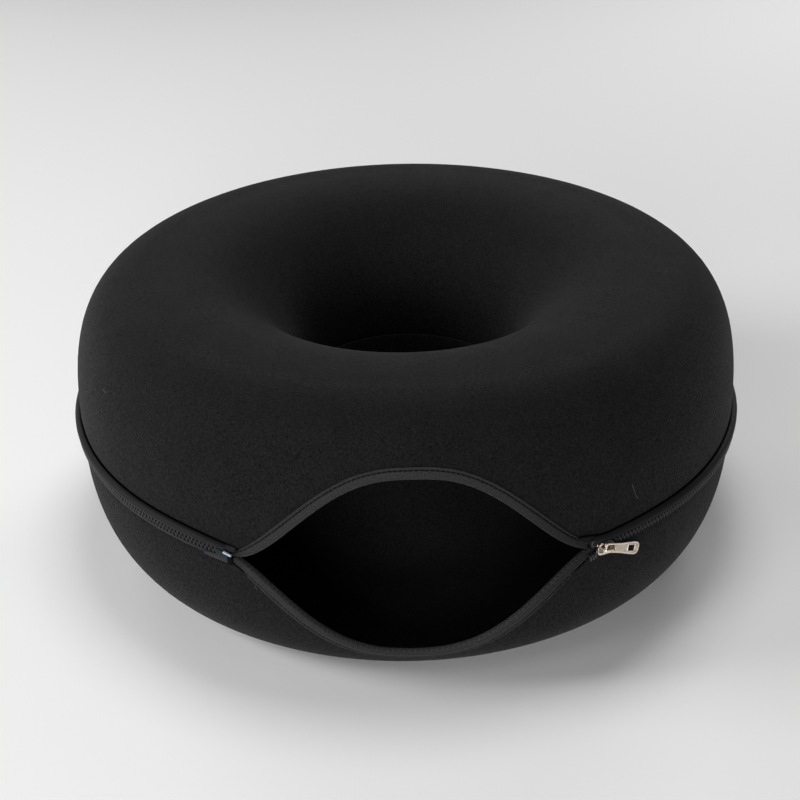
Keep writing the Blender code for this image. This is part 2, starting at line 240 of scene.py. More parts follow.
# The slider and its pull. Outlines are the upper half: along, out from the middle line.
SLIDER_AZIMUTH = 30.7
SLIDER_HEIGHT = 0.1188
SLIDER_RADIUS = 0.2984
SLIDER_TURN = -9.0
SLIDER_SHIFT = 0.0006
SLIDER_GROW = 0.0004
SLIDER_RIM = 0.0013
SLIDER_OUTLINE = ((-0.0074, 0.0012), (-0.0070, 0.0030), (-0.0054, 0.0044), (-0.0030, 0.0047),
                  (0.0010, 0.0044), (0.0046, 0.0038), (0.0068, 0.0034), (0.0074, 0.0022))
PLATE_THICK = 0.0019
BRIDGE_LENGTH = 0.0100
BRIDGE_WIDTH = 0.0030
BRIDGE_BAR = 0.0014
BRIDGE_CLEAR = 0.0038
PULL_THICK = 0.0015
PULL_RIM = 0.0011
PULL_HANG = 23.8
PULL_LEAN = 7.0
PULL_ROLL = -12.0
PULL_START = (-0.0023, 0.0033, 0.0046)
PULL_OUTLINE = ((-0.0010, 0.0024), (-0.0006, 0.0034), (0.0004, 0.0038), (0.0030, 0.0039),
                (0.0105, 0.0039), (0.0184, 0.0042), (0.0255, 0.0048), (0.0320, 0.0053),
                (0.0356, 0.0053), (0.0381, 0.0045), (0.0396, 0.0030), (0.0400, 0.0012))
PULL_SLOT = (0.0012, 0.0092, 0.0046)
PULL_WINDOW = (0.0268, 0.0076, 0.0048)
WINDOW_RIM = 0.0008

# How finely the soft pieces are drawn.
FELT_STATIONS = 420
MOUTH_STATIONS = 96
FELT_STEPS = 34
TAPE_STATIONS = 800
TAPE_STEPS = 26
BINDING_STATIONS = 1300
STITCH_STATIONS = 1600
FACE_SHARES = (0.0, 0.04, 0.09, 0.15, 0.20, 0.235, 0.26, 0.275, 0.29, 0.305,
               0.32, 0.345, 0.38, 0.46, 0.56, 0.66, 0.76, 0.86, 0.94, 1.0)
BINDING_FOLD_STEPS = 9
BINDING_BACK_STEPS = 8
BINDING_BACK_SKIP = 2

# The viewpoint, measured on the object, in metres, degrees and millimetres of film.
CAMERA_TARGET = (-0.0056, -0.0058, 0.1111)
CAMERA_ELEVATION = 29.337
CAMERA_ROLL = 1.2204
CAMERA_DISTANCE = 1.4745
CAMERA_LENS = 71.67

# Soft round lights: name, place, size and power in watts; all aim at one point.
LIGHT_AIM = (0, 0, 0.12)
SOFT_BOXES = (
    ("front_left_low", (-0.9, -2.2, 0.8), 1.0, 9.0),
    ("front_left_high", (-1.4, -1.6, 2.0), 1.0, 8.0),
    ("front_floor", (-0.5, -2.4, 0.45), 0.7, 11.0),
    ("front_middle", (-0.15, -2.4, 0.85), 0.5, 13.0),
    ("left", (-2.2, -0.3, 1.2), 1.0, 30.0),
    ("back_left", (-1.4, 1.9, 1.2), 1.0, 10.0),
    ("right", (1.8, -1.4, 1.0), 1.0, 3.0),
    ("back_right", (1.2, 2.0, 1.2), 1.0, 15.0),
    ("top", (0.1, 0.2, 2.4), 1.0, 19.0),
)
WORLD_STRENGTH = 0.03
FLOOR_HALF = 6.0
FLOOR_DROP = 0.0004


# ---- curves


def on_ring(azimuth, radius, height):
    angle = math.radians(azimuth)
    return Vector((radius * math.sin(angle), AXIS_Y - radius * math.cos(angle), height))


def facing(azimuth):
    """The same azimuth, between -180 and 180 degrees."""
    return (azimuth + 180) % 360 - 180


def spaced(first, last, steps):
    return [first + (last - first) * index / steps for index in range(steps + 1)]


def eased(value, start, reach):
    """0 up to a start, 1 beyond its reach and a straight rise between them."""
    return min(1.0, max(0.0, (value - start) / reach))


def hump(value, middle, width):
    """A smooth hump, 1 at its middle."""
    return math.exp(-(((value - middle) / width) ** 2))


def lip(azimuth, curve):
    """How far a lip's line lies from the equator."""
    start, rise, reach, power = curve
    share = min(abs(azimuth - MOUTH_SHIFT) / reach, 1.0)
    return start + rise * (1 + math.cos(math.pi * share**power)) / 2


def zip_line(azimuth, height, dip):
    near = max(0.0, DIP_REACH - abs(azimuth)) / DIP_WIDTH
    return height - ZIP_LEAN * math.sin(math.radians(azimuth)) - dip * near**2


def chain_line(azimuth):
    return zip_line(azimuth, CHAIN_LINE, CHAIN_DIP)


def wall_radius(height):
    """Radius of the ring's outer wall at a height."""
    if height >= EQUATOR:
        share = (height - EQUATOR) / (CROWN_HEIGHT - EQUATOR)
        power, middle = UPPER_OUTER_POWER, CROWN_RADIUS
    else:
        share = (EQUATOR - height) / EQUATOR
        power, middle = LOWER_OUTER_POWER, FLOOR_RADIUS
    return middle + (WALL_RADIUS - middle) * (1 - share**power) ** (1 / power)


def quarter(start, corner, far, power):
    """Points of a quarter curve, level with its corner at first and above or below it at last."""
    angles = np.radians(np.linspace(0, 90, 41))
    across = (start - corner[0]) * np.cos(angles) ** (2 / power)
    along = (far - corner[1]) * np.sin(angles) ** (2 / power)
    return np.column_stack([corner[0] + across, corner[1] + along])


def run_along(path):
    """The length travelled along a path at each of its points."""
    return np.concatenate(([0.0], np.cumsum(np.linalg.norm(np.diff(path, axis=0), axis=1))))


# Weights of four points in a row on the powers of the share between the middle two.
SPLINE = np.array(((0, 2, 0, 0), (-1, 0, 1, 0), (2, -5, 4, -1), (-1, 3, -3, 1))) / 2


def resampled(points, steps):
    """The same path with its points evenly spaced."""
    path = np.array(points, float)
    run = run_along(path)
    wanted = np.linspace(0, run[-1], steps + 1)
    return np.column_stack([np.interp(wanted, run, path[:, axis]) for axis in range(path.shape[1])])


def smooth_path(points, steps):
    """A smooth curve through a few points, evenly spaced."""
    control = np.array([points[0], *points, points[-1]], float)
    powers = np.linspace(0, 1, 12, endpoint=False)[:, None] ** np.arange(4)
    curve = [powers @ SPLINE @ control[index : index + 4] for index in range(len(points) - 1)]
    return resampled(np.vstack([*curve, control[-1:]]), steps)


def path_normals(path):
    """Left normals of a path of radius and height, stretched at bends as a mitre needs."""
    runs = np.diff(path, axis=0)
    runs /= np.linalg.norm(runs, axis=1)[:, None]
    left = np.column_stack([-runs[:, 1], runs[:, 0]])
    before = np.vstack([left[:1], left])
    after = np.vstack([left, left[-1:]])
    middle = before + after
    middle /= np.linalg.norm(middle, axis=1)[:, None]
    return middle / np.sum(middle * after, axis=1)[:, None]


# ---- meshes


def loop_faces(rows, columns, closed):
    """Quads between closed loops in a row, which may itself be closed."""
    faces = []
    for row in range(rows if closed else rows - 1):
        first, second = row * columns, (row + 1) % rows * columns
        for column in range(columns):
            after = (column + 1) % columns
            faces.append((first + column, first + after, second + after, second + column))
    return faces


def tube_faces(rows, columns):
    """Faces of closed loops in a row, with a cap at each end."""
    ends = [tuple(range(columns)), tuple(range((rows - 1) * columns, rows * columns))]
    return loop_faces(rows, columns, False) + ends


def joined(parts):
    """Several pairs of vertices and faces as one."""
    verts, faces = [], []
    for some_verts, some_faces in parts:
        base = len(verts)
        verts += some_verts
        faces += [tuple(base + index for index in face) for face in some_faces]
    return verts, faces


def add_piece(name, part, material, nodes=(), cloth_and_painted_shade=None, sharp=60):
    """A piece made of a pair of vertices and faces, with its place on the cloth and its painted shade
    as an attribute.
    """
    verts, faces = part
    mesh = bpy.data.meshes.new(name)
    mesh.from_pydata([tuple(point) for point in verts], [], faces)
    if cloth_and_painted_shade is not None:
        layer = mesh.attributes.new("cloth_and_painted_shade", "FLOAT_VECTOR", "POINT")
        layer.data.foreach_set("vector", np.array(cloth_and_painted_shade, np.float32).ravel())
    return finish_piece(name, mesh, material, nodes, sharp)


def add_object(name, data):
    made = bpy.data.objects.new(name, data)
    bpy.context.scene.collection.objects.link(made)
    return made


def finish_piece(name, mesh, material, nodes=(), sharp=50):
    """A mesh that rides on the root and stands for the named CAD nodes."""
    work = bmesh.new()
    work.from_mesh(mesh)
    bmesh.ops.recalc_face_normals(work, faces=work.faces)
    work.to_mesh(mesh)
    work.free()
    mesh.materials.clear()
    mesh.materials.append(material)
    mesh.shade_smooth()
    mesh.set_sharp_from_angle(angle=math.radians(sharp))
    thing = add_object(name, mesh)
    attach(thing, "root")
    if nodes:
        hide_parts(*nodes)
    return thing


# ---- materials


class Look:
    """A procedural material while it is built: its node tree and its Principled shader."""

    def __init__(self, name, **sockets):
        self.material = bpy.data.materials.new(name)
        self.material.use_nodes = True
        self.tree = self.material.node_tree
        self.shader = self.tree.nodes["Principled BSDF"]
        for key, value in sockets.items():
            self.shader.inputs[key.replace("_", " ")].default_value = value

    def node(self, kind, inputs, **settings):
        """Outputs of a new node, whose inputs are values or other nodes' outputs."""
        made = self.tree.nodes.new("ShaderNode" + kind)
        for key, value in settings.items():
            setattr(made, key, value)
        for key, value in inputs.items():
            if isinstance(value, bpy.types.NodeSocket):
                self.tree.links.new(value, made.inputs[key])
            else:
                made.inputs[key].default_value = value
        return made.outputs

    def link(self, key, value):
        self.tree.links.new(value, self.shader.inputs[key])

    def place(self):
        return self.node("TexCoord", {})["Object"]

    def cloth(self):
        """Flat position on the cloth and the painted shade carried beside it."""
        both = self.node("Attribute", {}, attribute_name="cloth_and_painted_shade")["Vector"]
        shade = self.node("SeparateXYZ", {"Vector": both})["Z"]
        return self.vector("MULTIPLY", both, (1, 1, 0))["Vector"], shade

    def math(self, operation, first, second=0.5):
        return self.node("Math", {0: first, 1: second}, operation=operation)["Value"]

    def vector(self, operation, first, second):
        return self.node("VectorMath", {0: first, 1: second}, operation=operation)

    def times(self, first, second):
        return self.math("MULTIPLY", first, second)

    def blend(self, *terms):
        """Sum of values, each given with its weight."""
        total = self.times(*terms[0])
        for term in terms[1:]:
            total = self.math("ADD", total, self.times(*term))
        return total

    def noise(self, place, scale, detail=2.0, rough=0.5, output="Fac"):
        inputs = {"Vector": place, "Scale": scale, "Detail": detail, "Roughness": rough}
        return self.node("TexNoise", inputs)[output]

    def bands(self, place, scale, distortion, direction):
        inputs = {"Vector": place, "Scale": scale, "Distortion": distortion}
        return self.node("TexWave", inputs, bands_direction=direction)["Fac"]

    def spread(self, value, low, high, first, last):
        """Map a range of values to another range."""
        inputs = {"Value": value, "From Min": low, "From Max": high, "To Min": first, "To Max": last}
        return self.node("MapRange", inputs)["Result"]

    def colour(self, factor, low, high, dull, bright):
        """Blend the base colour from a dull to a bright tone between two values of a factor."""
        ramp = self.tree.nodes.new("ShaderNodeValToRGB")
        self.tree.links.new(factor, ramp.inputs["Fac"])
        for element, position, tone in zip(ramp.color_ramp.elements, (low, high), (dull, bright)):
            element.position = position
            element.color = (*tone, 1)
        self.link("Base Color", ramp.outputs["Color"])

    def bump(self, height, distance, strength):
        inputs = {"Height": height, "Distance": distance, "Strength": strength}
        self.link("Normal", self.node("Bump", inputs)["Normal"])

    def lift(self, factor, colour, sheen, gloss):
        """Scale the colour, the sheen and the gloss together by one factor."""
        scaled = self.node("VectorMath", {0: colour, "Scale": factor}, operation="SCALE")
        self.link("Base Color", scaled["Vector"])
        self.link("Sheen Weight", self.times(factor, sheen))
        self.link("Specular IOR Level", self.times(factor, gloss))

    def shaded(self, factor, shade):
        """A tone factor darkened by the painted shade carried on the cloth; where that shade is below
        0 it is a painted highlight.
        """
        return self.times(factor, self.math("SUBTRACT", 1.0, self.times(shade, 0.96)))


def grey(value, blue=1.0):
    return (value, value, value * blue)


def felt_material():
    """Pressed felt: matted curly fibres, soft clouds of tone and a dusty sheen.

    The fibres are drawn out up and down the walls."""
    tint = (0.95, 0.93, 0.92, 1)
    look = Look("felt_matted", Roughness=0.92, Sheen_Roughness=0.40, Sheen_Tint=tint)
    place = look.place()
    drawn = look.vector("MULTIPLY", place, FIBRE_DRAW)["Vector"]
    warp = look.noise(place, 420.0, output="Color")
    push = look.vector("MULTIPLY", warp, (0.002, 0.002, 0.002))["Vector"]
    strands = look.noise(look.vector("ADD", drawn, push)["Vector"], 760.0, 2.0, 0.6)
    ridges = look.math("ABSOLUTE", look.math("SUBTRACT", strands, 0.5))
    fibres = look.spread(ridges, 0.0, 0.10, 1.0, 0.0)
    height = look.blend((fibres, 0.14), (look.noise(drawn, 980.0, 2.0, 0.6), 0.75))
    clouds = look.times(look.noise(place, 34.0, 5.0), 0.08)
    factor = look.spread(look.math("ADD", height, clouds), 0.27, 0.65, 0.36, 1.68)
    look.lift(factor, (0.0058, 0.0056, 0.0055), 0.052, 0.115)
    look.bump(height, 0.0006, 0.9)
    return look.material


def twill_material():
    """Folded cotton twill: diagonal ribs of fine yarn, with painted shade along its sewing."""
    tint = (0.92, 0.92, 0.95, 1)
    look = Look("twill_ribbed", Roughness=0.78, Sheen_Roughness=0.35, Sheen_Tint=tint)
    place, shade = look.cloth()
    waves = (2 * math.pi / RIB_PITCH, 2 * math.pi / RIB_SLANT, 0)
    ribs = look.math("COSINE", look.vector("DOT_PRODUCT", place, waves)["Value"])
    yarn = look.bands(place, 420.0, 1.5, "Y")
    height = look.blend((ribs, 0.20), (yarn, 0.20), (look.noise(place, 820.0, 3.0), 0.90))
    factor = look.shaded(look.spread(height, 0.22, 0.88, 0.05, 1.95), shade)
    look.lift(factor, grey(0.0192, 0.97), 0.178, 0.21)
    look.bump(height, 0.00022, 0.7)
    return look.material


def tape_material():
    """Knitted zip tape: fine wales along its length, darkened by the painted shade it carries."""
    look = Look("tape_knitted", Roughness=0.62, Sheen_Roughness=0.35)
    place, shade = look.cloth()
    wales = look.bands(place, 420.0, 0.4, "Y")
    courses = look.bands(place, 360.0, 0.8, "X")
    height = look.blend((wales, 0.4), (courses, 0.35), (look.noise(place, 1400.0), 0.25))
    factor = look.shaded(look.spread(height, 0.20, 0.80, 0.55, 1.45), shade)
    look.lift(factor, grey(0.0082, 1.02), 0.068, 0.15)
    look.bump(height, 0.00015, 0.7)
    return look.material


def plastic_material(name, low, high, roughness, gloss, coat=0.0, tint=(1.0, 1.0, 1.15)):
    """Moulded plastic with faint flow marks and scuffs."""
    look = Look(name, Coat_Weight=coat, Coat_Roughness=0.10, Specular_IOR_Level=gloss)
    place = look.place()
    scuffs = look.noise(place, 1900.0, 2.0, 0.7)
    dull, bright = [[value * part for part in tint] for value in (low, high)]
    look.colour(look.noise(place, 380.0, 3.0), 0.3, 0.7, dull, bright)
    look.link("Roughness", look.spread(scuffs, 0.0, 1.0, roughness * 0.7, roughness * 1.4))
    look.bump(scuffs, 0.00004, 0.4)
    return look.material


def metal_material(name, dull, bright):
    """Pale gold plated die casting with fine brushing and small scuffs."""
    look = Look(name, Metallic=1.0)
    place = look.place()
    drawn = look.node("Mapping", {"Vector": place, "Scale": (300.0, 300.0, 2400.0)})["Vector"]
    brushing = look.noise(drawn, 1.0, 3.0)
    look.colour(look.noise(place, 520.0, 4.0), 0.35, 0.65, dull, bright)
    look.link("Roughness", look.spread(brushing, 0.0, 1.0, 0.18, 0.42))
    look.bump(brushing, 0.00003, 0.5)
    return look.material


def thread_material():
    """Twisted sewing thread."""
    look = Look("thread_twisted", Roughness=0.6, Specular_IOR_Level=0.06)
    twist = look.bands(look.place(), 900.0, 0.5, "DIAGONAL")
    look.colour(twist, 0.2, 0.8, grey(0.0015), grey(0.0050))
    look.bump(twist, 0.00006, 0.6)
    return look.material


def fibre_material(name, dull, bright):
    """Fine loose fibre, duller and brighter along its length."""
    look = Look(name, Roughness=0.7, Specular_IOR_Level=0.2)
    streaks = look.noise(look.place(), 700.0)
    look.colour(streaks, 0.35, 0.65, dull, bright)
    look.bump(streaks, 0.00003, 0.5)
    return look.material


def make_materials():
    return {
        "felt": felt_material(),
        "twill": twill_material(),
        "tape": tape_material(),
        "teeth": plastic_material("teeth_moulded", 0.009, 0.019, 0.38, 0.20),
        "plastic": plastic_material("plastic_dark", 0.003, 0.008, 0.34, 0.14, 0.05, (1, 1, 1.2)),
        # Ribs and arms of the stops are a lighter copy of their dark plastic, as a painted highlight.
        "stop": plastic_material("plastic_painted_highlight", 0.022, 0.044, 0.34, 0.30, 0.05, (1, 1, 1.08)),
        "film": plastic_material("film_milky", 0.008, 0.015, 0.30, 0.13, 0.06, (0.90, 1.02, 1.25)),
        # The retainer box is coloured pale as a painted highlight.
        "clear": plastic_material("film_painted_highlight", 0.40, 0.60, 0.12, 0.30, 0.6, (0.64, 0.84, 1.0)),
        "metal": metal_material("pale_gold_plate", (0.80, 0.70, 0.58), (0.96, 0.86, 0.74)),
        # Recessed faces of the pull and the slider are darker copies of their metal, as painted shade.
        "painted_shade_metal": metal_material("pale_gold_painted_shade", (0.50, 0.43, 0.35), (0.74, 0.65, 0.54)),
        "slider": metal_material("slider_plate", (0.66, 0.57, 0.47), (0.90, 0.80, 0.67)),
        "slider_painted_shade": metal_material("slider_painted_shade", (0.20, 0.175, 0.145), (0.34, 0.30, 0.25)),
        "thread": thread_material(),
        "fuzz": fibre_material("fibre_loose", grey(0.020), grey(0.050)),
        "lint": fibre_material("lint_pale", grey(0.08, 0.9), grey(0.15, 0.9)),
    }


# ---- felt


def upper_zip_edge(azimuth):
    """Height of the upper felt's edge along the zip; it turns a little at the mouth's corners."""
    edge = zip_line(azimuth, UPPER_ZIP_EDGE, EDGE_DIP)
    away = max(0.0, abs(azimuth) - ZIP_START)
    if azimuth > 0:
        return edge + RIGHT_EDGE_LIFT * max(0.0, 1 - away / RIGHT_EDGE_REACH) ** 1.7
    return edge - LEFT_EDGE_DROP * max(0.0, 1 - away / LEFT_EDGE_REACH)


def rightness(azimuth):
    """1 on the right run of the zip, 0 on the left run, with soft changes between them."""
    if azimuth < 0:
        return 0.0
    return max(0.15, eased(azimuth, *RIGHT_LIFT_START)) * min(1.0, (180 - azimuth) / 30)


def lower_zip_edge(azimuth):
    """Height of the lower felt's edge along the zip; it stands closer to the teeth on the right."""
    return zip_line(azimuth, LOWER_ZIP_EDGE, EDGE_DIP) + RIGHT_FELT_LIFT * rightness(azimuth)


def lip_edge(half, azimuth):
    """Heights of a felt's edge at the mouth and of the line where its binding ends."""
    up = half["up"]
    opening = max(lip(azimuth, half["opening"]), up * (CORNER_HEIGHT - EQUATOR) + CORNER_CLEARANCE)
    line = max(lip(azimuth, half["felt_line"]), opening + LEAST_BINDING)
    return EQUATOR + up * (opening + LIP_GAP + TWILL), EQUATOR + up * line


def felt_edge(half, azimuth):
    """Heights of a felt's edge and of its seam, along the mouth and the zip."""
    if abs(azimuth) <= MOUTH_END:
        return lip_edge(half, azimuth)
    edge = upper_zip_edge(azimuth) if half is UPPER else lower_zip_edge(azimuth)
    return edge, edge + half["up"] * SEAM_MARGIN


def felt_path(half, azimuth):
    """Path of the felt's face from its collar over the crown or the floor to its edge."""
    collar, far = half["collar"], half["far"]
    inner = np.vstack([collar, quarter(collar[0], half["corner"], far, half["inner_power"])])
    edge, _ = felt_edge(half, azimuth)
    heights = spaced(far, edge, 80)
    wall = resampled([(wall_radius(height), height) for height in heights], FELT_STEPS)
    first = 1 if half is UPPER else 0
    return np.vstack([resampled(inner, FELT_STEPS), wall[first:]])


def felt_loop(path, up):
    """Closed section of felt whose face follows a path."""
    normals = path_normals(path)
    run = run_along(path)
    left = np.minimum(run, run[-1] - run)
    cut = EDGE_ROUNDING * np.clip(1 - left / EDGE_ROUNDING_REACH, 0, 1) ** 2
    face = path - normals * (up * cut)[:, None]
    back = path - normals * (up * (FELT - cut))[:, None]
    return np.vstack([face, back[::-1]])


def unevenness(point):
    """Small hollows and swellings left by the moulding, in metres."""
    broad, broad_waves = BROAD_UNEVENNESS
    close, close_waves = CLOSE_UNEVENNESS
    shifted = point * close_waves + Vector((3, 1, 7))
    return broad * noise.noise(point * broad_waves) + close * noise.noise(shifted)


def make_felt(half, material):
    """A felt shell whose unevenness fades out at its edges, its collar and the floor."""
    up = half["up"]
    azimuths = spaced(-MOUTH_END, MOUTH_END, MOUTH_STATIONS)
    azimuths += spaced(ZIP_START, 360 - ZIP_START, FELT_STATIONS)
    loops = [felt_loop(felt_path(half, facing(azimuth)), up) for azimuth in azimuths]
    verts = [on_ring(azimuth, *point) for azimuth, loop in zip(azimuths, loops) for point in loop]
    columns = len(loops[0])
    for index, point in enumerate(verts):
        edge, line = felt_edge(half, facing(azimuths[index // columns]))
        away = min(abs(point.z - line), abs(point.z - edge))
        hem = 0.0 if (line - point.z) * up < 0 else min(1.0, away / SEAM_FADE)
        collar = eased(math.hypot(point.x, point.y - AXIS_Y), *COLLAR_FADE)
        foot = 1.0 if up > 0 else eased(point.z, *FLOOR_FADE)
        out = Vector((point.x, point.y - AXIS_Y, 0)).normalized() * 0.6
        rise = Vector((0, 0, 0.4 if up > 0 else 0.0))
        point += (out + rise) * (unevenness(point) * hem * collar * foot)
    part = verts, loop_faces(len(azimuths), columns, True)
    name = "felt_" + half["name"]
    return add_piece(name, part, material, (name + "_shell",))


def make_fuzz(half, source, material):
    """Loose curled fibres that stand a little off the felt."""
    parts = []
    for _ in range(half["fuzz"]):
        azimuth = source.uniform(-180, 180)
        path = felt_path(half, azimuth)
        out, run = path_normals(path) * half["up"], run_along(path)
        start = source.uniform(FUZZ_INNER_MARGIN, run[-1] - FUZZ_EDGE_MARGIN)
        angle = source.uniform(0, 2 * math.pi)
        length = source.uniform(*FUZZ_LENGTH)
        lift = source.uniform(*FUZZ_LIFT)
        bend = source.uniform(-0.5, 0.5)
        points = []
        for share in spaced(0, 1, 5):
            turn = angle + bend * math.sin(math.pi * share) * 2
            along = start + length * share * math.cos(turn)
            raised = path + out * (lift * math.sin(math.pi * share) - FUZZ_ROOT)
            place = [np.interp(along, run, raised[:, axis]) for axis in (0, 1)]
            across = math.degrees(length * share * math.sin(turn) / WALL_RADIUS)
            points.append(on_ring(azimuth + across, *place))
        if min(point.z for point in points) > FUZZ_LOWEST:
            parts.append(capsule(points, FUZZ_RADIUS, 3))
    return add_piece(f"felt_{half['name']}_fuzz", joined(parts), material)


def make_lint(material):
    """A pale hair and two bits of lint caught in the felt."""
    parts = []
    for thick, lint in LINT:
        path = smooth_path(lint, 10)
        points = []
        for index, (azimuth, height) in enumerate(path):
            rise = 0.0007 * math.sin(math.pi * index / (len(path) - 1)) + 0.0001
            points.append(on_ring(azimuth, wall_radius(height) + rise, height))
        parts.append(capsule(points, thick, 5))
    return add_piece("felt_lint", joined(parts), material)


# ---- folded lips


def lip_azimuths(half, stations):
    """Azimuths along a lip, evenly spaced by the length of its curve, and that length."""
    coarse = spaced(-MOUTH_END, half["lip_end"], 400)
    curve = []
    for azimuth in coarse:
        height, _ = lip_edge(half, azimuth)
        curve.append(on_ring(azimuth, wall_radius(height), height))
    run = run_along(np.array(curve))
    wanted = np.linspace(0, run[-1], stations + 1)
    return np.interp(wanted, run, coarse), wanted


def wall_line(heights, up):
    """Points of the outer wall at some heights, their outward normals and the run along them."""
    points = np.array([(wall_radius(height), height) for height in heights])
    return points, path_normals(points) * up, run_along(points)


def binding_path(half, azimuth):
    """Middle of the folded tape's section, and how far along its face each point lies."""
    edge, line = lip_edge(half, azimuth)
    felt, outward, run = wall_line(line + (edge - line) * np.array(FACE_SHARES), half["up"])
    behind, behind_out, _ = wall_line(np.linspace(line, edge, BINDING_BACK_STEPS), half["up"])
    off = GAP + TWILL / 2
    front = felt + outward * off
    back = behind - behind_out * (FELT + off)
    along = felt[-1] - felt[-2]
    along /= np.linalg.norm(along)
    middle = felt[-1] - outward[-1] * (FELT / 2)
    fold = []
    for degrees in np.linspace(90, -90, BINDING_FOLD_STEPS)[1:-1]:
        angle = math.radians(degrees)
        out = math.copysign(abs(math.sin(angle)) ** FOLD_SHAPE, angle) * (FELT / 2 + off)
        reach = math.cos(angle) ** FOLD_SHAPE * (LIP_GAP + TWILL / 2)
        fold.append(middle + outward[-1] * out + along * reach)
    return np.vstack([front, fold, back[::-1]]), run / run[-1]


def binding_relief(share, across, run):
    """Height of the tape's face: a raised selvedge, the groove of the stitches and twill ribs."""
    height, middle, width = SELVEDGE
    selvedge = height * hump(share, middle, width)
    depth, width = GROOVE
    groove = depth * hump(share, STITCH_SHARE, width)
    body = max(0.0, share - STITCH_SHARE) / (1 - STITCH_SHARE)
    puff = BODY_PUFF * math.sin(math.pi * min(1.0, body))
    rib = RIB_HEIGHT * math.cos(2 * math.pi * (run / RIB_PITCH + across / RIB_SLANT))
    return selvedge - groove + puff + rib * min(1.0, body * 6 + 0.35)


def binding_shade(share, run, length, lower, fold):
    """Painted shade on the tape: along its stitches, along its felt edge and at its two ends.

    Below 0 it is lighter: the lower lip's fold carries a painted highlight, brightest on its beads.
    The shade towards the right corner stands in for a shadow of the photograph's light."""
    left, right = run, length - run
    corner = CORNER_SHADE * max(0.0, 1 - right / CORNER_SHADE_REACH)
    # The lower lip's fold: a painted highlight, brightest on its beads.
    if lower and 0 <= fold <= 0.75:
        bead_highlight = max(0.0, math.cos(2 * math.pi * run / BEAD_PITCH)) ** 3
        return corner - 0.15 - (0.90 * bead_highlight if 0.2 <= fold <= 0.5 else 0.0)
    # Painted shade along the stitches, along the felt edge and at the ends.
    dash = 1.0 if (run / STITCH_PITCH) % 1.0 < STITCH_DASH else 0.30
    stitch_shade = dash * hump(share, STITCH_SHARE, GROOVE_SHARE)
    rim = 0.55 * hump(share, 0, 0.035)
    if lower:
        near = max(0.0, 1 - left / 0.016, 1 - right / 0.026)
        rim += 1.8 * min(1.0, near * 2) * hump(share, 0.02, 0.16)
    cut = max(0.0, 1 - min(left, right) / (0.0022 if lower else 0.0034))
    return min(1.0, max(stitch_shade, rim, cut) + corner)


def binding_section(path, shares, run, length, up):
    """Closed section of a lip's tape, with the place and painted shade of each point on the cloth."""
    normals = path_normals(path) * up
    across = run_along(path)
    lifts, shades = np.zeros(len(path)), np.zeros(len(path))
    for index in range(len(shares) + BINDING_FOLD_STEPS):
        share = shares[index] if index < len(shares) else 1.0
        fold = (index - len(shares)) / (BINDING_FOLD_STEPS - 2)
        lifts[index] = binding_relief(share, across[index], run)
        shades[index] = binding_shade(share, run, length, up < 0, fold)
    face = path + normals * (TWILL / 2 + lifts)[:, None]
    back = (path - normals * (TWILL / 2))[::-BINDING_BACK_SKIP]
    marks = [(run, mark, shade) for mark, shade in zip(across, shades)]
    marks += [(run, mark, 0.0) for mark in across[::-BINDING_BACK_SKIP]]
    return np.vstack([face, back]), marks


def make_binding(half, material):
    """The tape folded over a lip, with rounded ends."""
    azimuths, runs = lip_azimuths(half, BINDING_STATIONS)
    length = runs[-1]
    verts, cloth_and_painted_shade = [], []
    for azimuth, run in zip(azimuths, runs):
        path, shares = binding_path(half, azimuth)
        section, marks = binding_section(path, shares, run, length, half["up"])
        closing = min(1.0, min(run, length - run) / END_ROUNDING)
        taper = math.sqrt(max(0.02, 1 - (1 - closing) ** 2))
        middle = path[: len(shares), 1].mean()
        if half is LOWER and run > length / 2:
            middle = path[len(shares) + 2, 1]
        verts += [on_ring(azimuth, radius, middle + (z - middle) * taper) for radius, z in section]
        cloth_and_painted_shade += marks
    part = verts, tube_faces(len(azimuths), len(section))
    name, node_name = "lip_tape_" + half["name"], "lip_binding_" + half["name"]
    return add_piece(name, part, material, (node_name,), cloth_and_painted_shade, 70)


def capsule(points, radius, sides=6):
    """A short thread along a few points, thinner at its ends."""
    verts = []
    count = len(points)
    for index, point in enumerate(points):
        ahead = points[min(index + 1, count - 1)] - points[max(index - 1, 0)]
        turn = ahead.to_track_quat("Z", "X").to_matrix()
        thick = radius * (0.35 if index in (0, count - 1) else 1.0)
        for side in range(sides):
            angle = 2 * math.pi * side / sides
            verts.append(point + turn @ (Vector((math.cos(angle), math.sin(angle), 0)) * thick))
    return verts, tube_faces(count, sides)


def make_lip_stitches(half, material):
    """One row of stitches sunk in the groove of a lip's tape."""
    azimuths, runs = lip_azimuths(half, STITCH_STATIONS)
    parts = []
    start = END_ROUNDING * 1.5
    while start + STITCH_LENGTH < runs[-1] - END_ROUNDING:
        points = []
        for share in spaced(0, 1, 4):
            azimuth = np.interp(start + share * STITCH_LENGTH, runs, azimuths)
            edge, line = lip_edge(half, azimuth)
            height = line + (edge - line) * STITCH_SHARE
            lift = GAP + TWILL - STITCH_SINK - STITCH_ARCH * (2 * share - 1) ** 4
            slope = (wall_radius(height + 0.0005) - wall_radius(height - 0.0005)) / 0.001
            out = Vector((1, -slope)).normalized() * lift
            points.append(on_ring(azimuth, wall_radius(height) + out.x, height + out.y))
        parts.append(capsule(points, STITCH_RADIUS))
        start += STITCH_PITCH
    return add_piece("lip_stitches_" + half["name"], joined(parts), material)


# ---- zip


def table_at(azimuth, table):
    """Both values of a table's rows at an azimuth."""
    rows = np.array(table)
    return [np.interp(azimuth, rows[:, 0], rows[:, column]) for column in (1, 2)]


